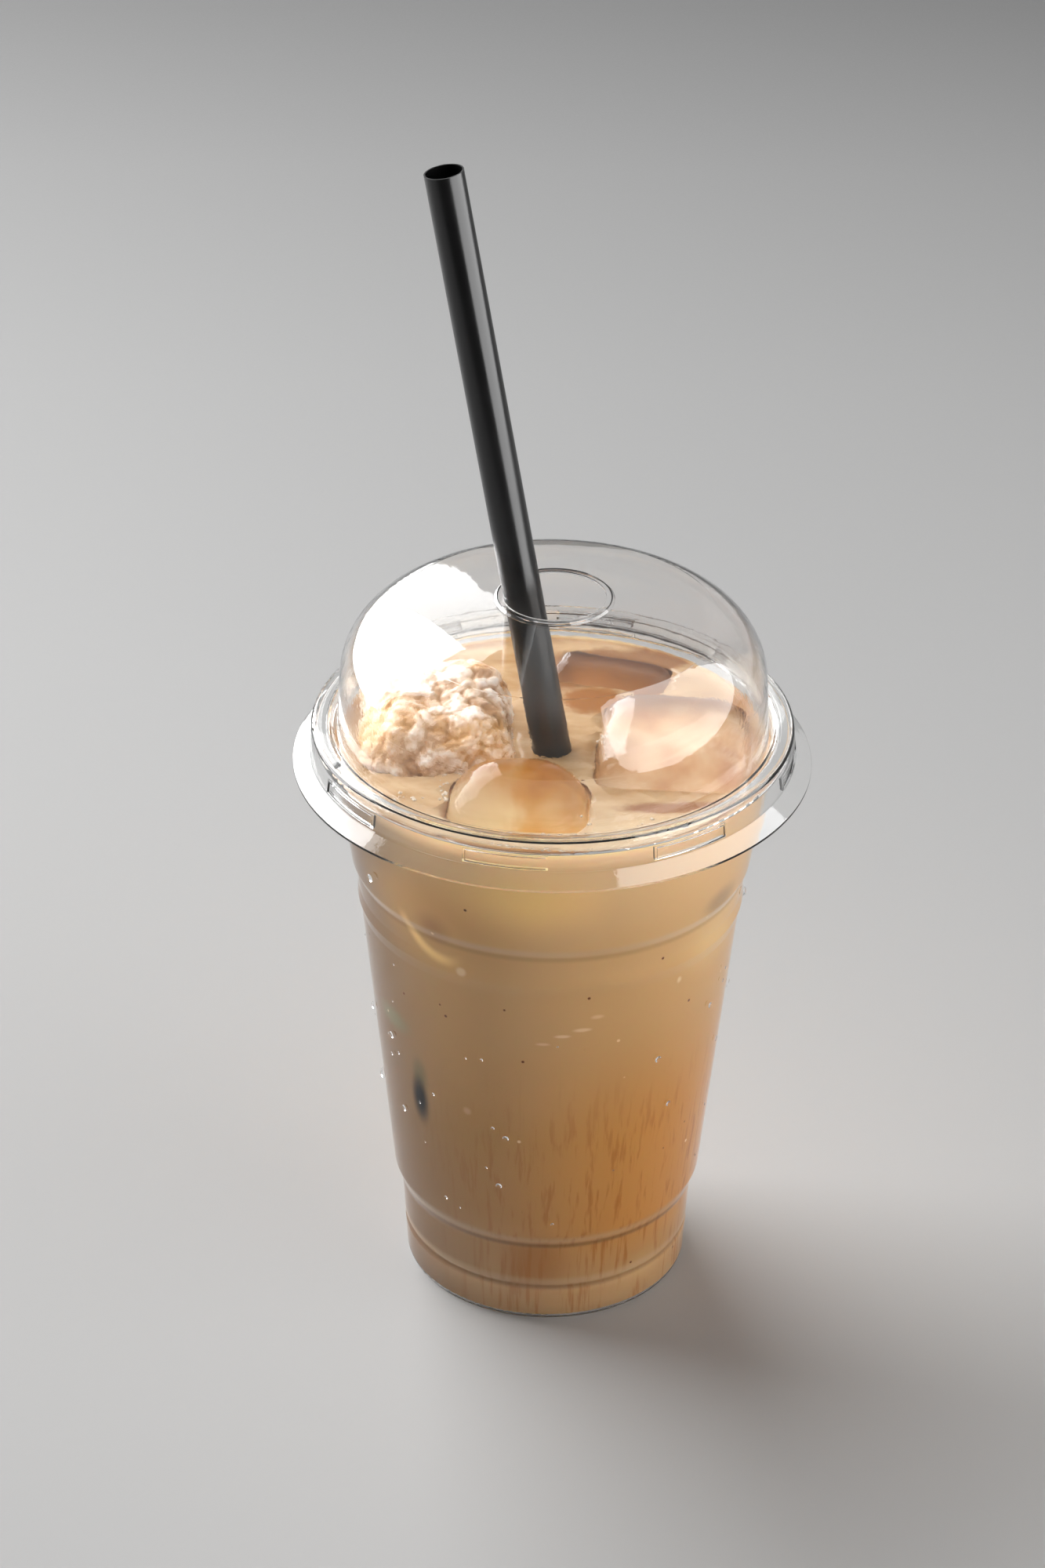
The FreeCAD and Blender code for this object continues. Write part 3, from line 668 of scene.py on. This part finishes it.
def make_light():
    window = ((-0.86, 0.92, 0.93), (0, 0.06, 0.93), "RECTANGLE", (1.8, 1.8))
    reflector = ((0.297, -0.315, 0.536), (-0.638, -0.668, 0.582), "DISK", (1.05, 1.05))
    card = ((0.45, -0.21, 0.15), (0.0, 0.0, 0.15), "RECTANGLE", (0.5, 0.3))
    warm = (1.0, 0.97, 0.94)
    lamp("Window", *window, 58, (1, 1, 1), gloss=False)
    lamp("WindowGloss", (-0.92, 0.864, 0.82), (0, -0.016, 0.82), "RECTANGLE", (1.4, 1.5), 60, (1, 1, 1), fill=False)
    # A little behind its gloss lamp: of two lamps at one distance a mirrored ray meets only one.
    lamp("Reflector", (0.325, -0.304, 0.539), (-0.610, -0.657, 0.585), "DISK", (1.13, 1.13), 0.8, warm, gloss=False)
    lamp("ReflectorGloss", *reflector, 15.5, (1.0, 1.0, 1.0), fill=False)
    lamp("Card", *card, 0.85, warm, gloss=False)
    world = bpy.data.worlds.new("World")
    bpy.context.scene.world = world
    world.use_nodes = True
    tree = world.node_tree
    path = tree.nodes.new("ShaderNodeLightPath")
    room = tree.nodes["Background"]
    level = tree.nodes.new("ShaderNodeMix")
    level.inputs["A"].default_value = 0.052
    level.inputs["B"].default_value = 0.6
    tree.links.new(path.outputs["Is Transmission Ray"], level.inputs["Factor"])
    gloss = tree.nodes.new("ShaderNodeMix")
    turned = tree.nodes.new("ShaderNodeSeparateXYZ")
    tree.links.new(tree.nodes.new("ShaderNodeTexCoord").outputs["Generated"], turned.inputs[0])
    behind = tree.nodes.new("ShaderNodeMapRange")
    tree.links.new(turned.outputs["Y"], behind.inputs["Value"])
    behind.inputs["From Min"].default_value, behind.inputs["From Max"].default_value = -0.5, 0.2
    behind.inputs["To Min"].default_value, behind.inputs["To Max"].default_value = 0.24, 0.5
    tree.links.new(behind.outputs["Result"], gloss.inputs["B"])
    tree.links.new(path.outputs["Is Glossy Ray"], gloss.inputs["Factor"])
    tree.links.new(level.outputs["Result"], gloss.inputs["A"])
    tree.links.new(gloss.outputs["Result"], room.inputs["Strength"])
    room.inputs["Color"].default_value = (1, 1, 1, 1)


def make_camera():
    lens = bpy.data.cameras.new("Camera")
    lens.sensor_fit = "AUTO"
    lens.sensor_width = 36
    lens.lens = 113.4
    lens.clip_start, lens.clip_end = 0.05, 20
    camera = link_object("Camera", lens)
    camera.location = (-0.00594, -0.86005, 0.61911)
    pitch, roll = math.radians(90 - 30.506), 0.01136
    camera.rotation_euler = (Euler((pitch, 0, 0)).to_matrix() @ Matrix.Rotation(roll, 3, "Z")).to_euler()
    bpy.context.scene.camera = camera


make_camera()
make_floor()
make_light()
wear(nodes_at["cup"], clear_plastic("CupPlastic", (0.99, 0.99, 0.985, 1), 1.42, 0.02 * MM))
wear(nodes_at["lid"], clear_plastic("LidPlastic", (0.985, 0.985, 0.98, 1), 1.5, 0.02 * MM, 0.010 * MM))
wear(nodes_at["straw"], straw_plastic())
make_ice()
make_drink()
make_beads()
bpy.context.scene.view_settings.view_transform = "Standard"
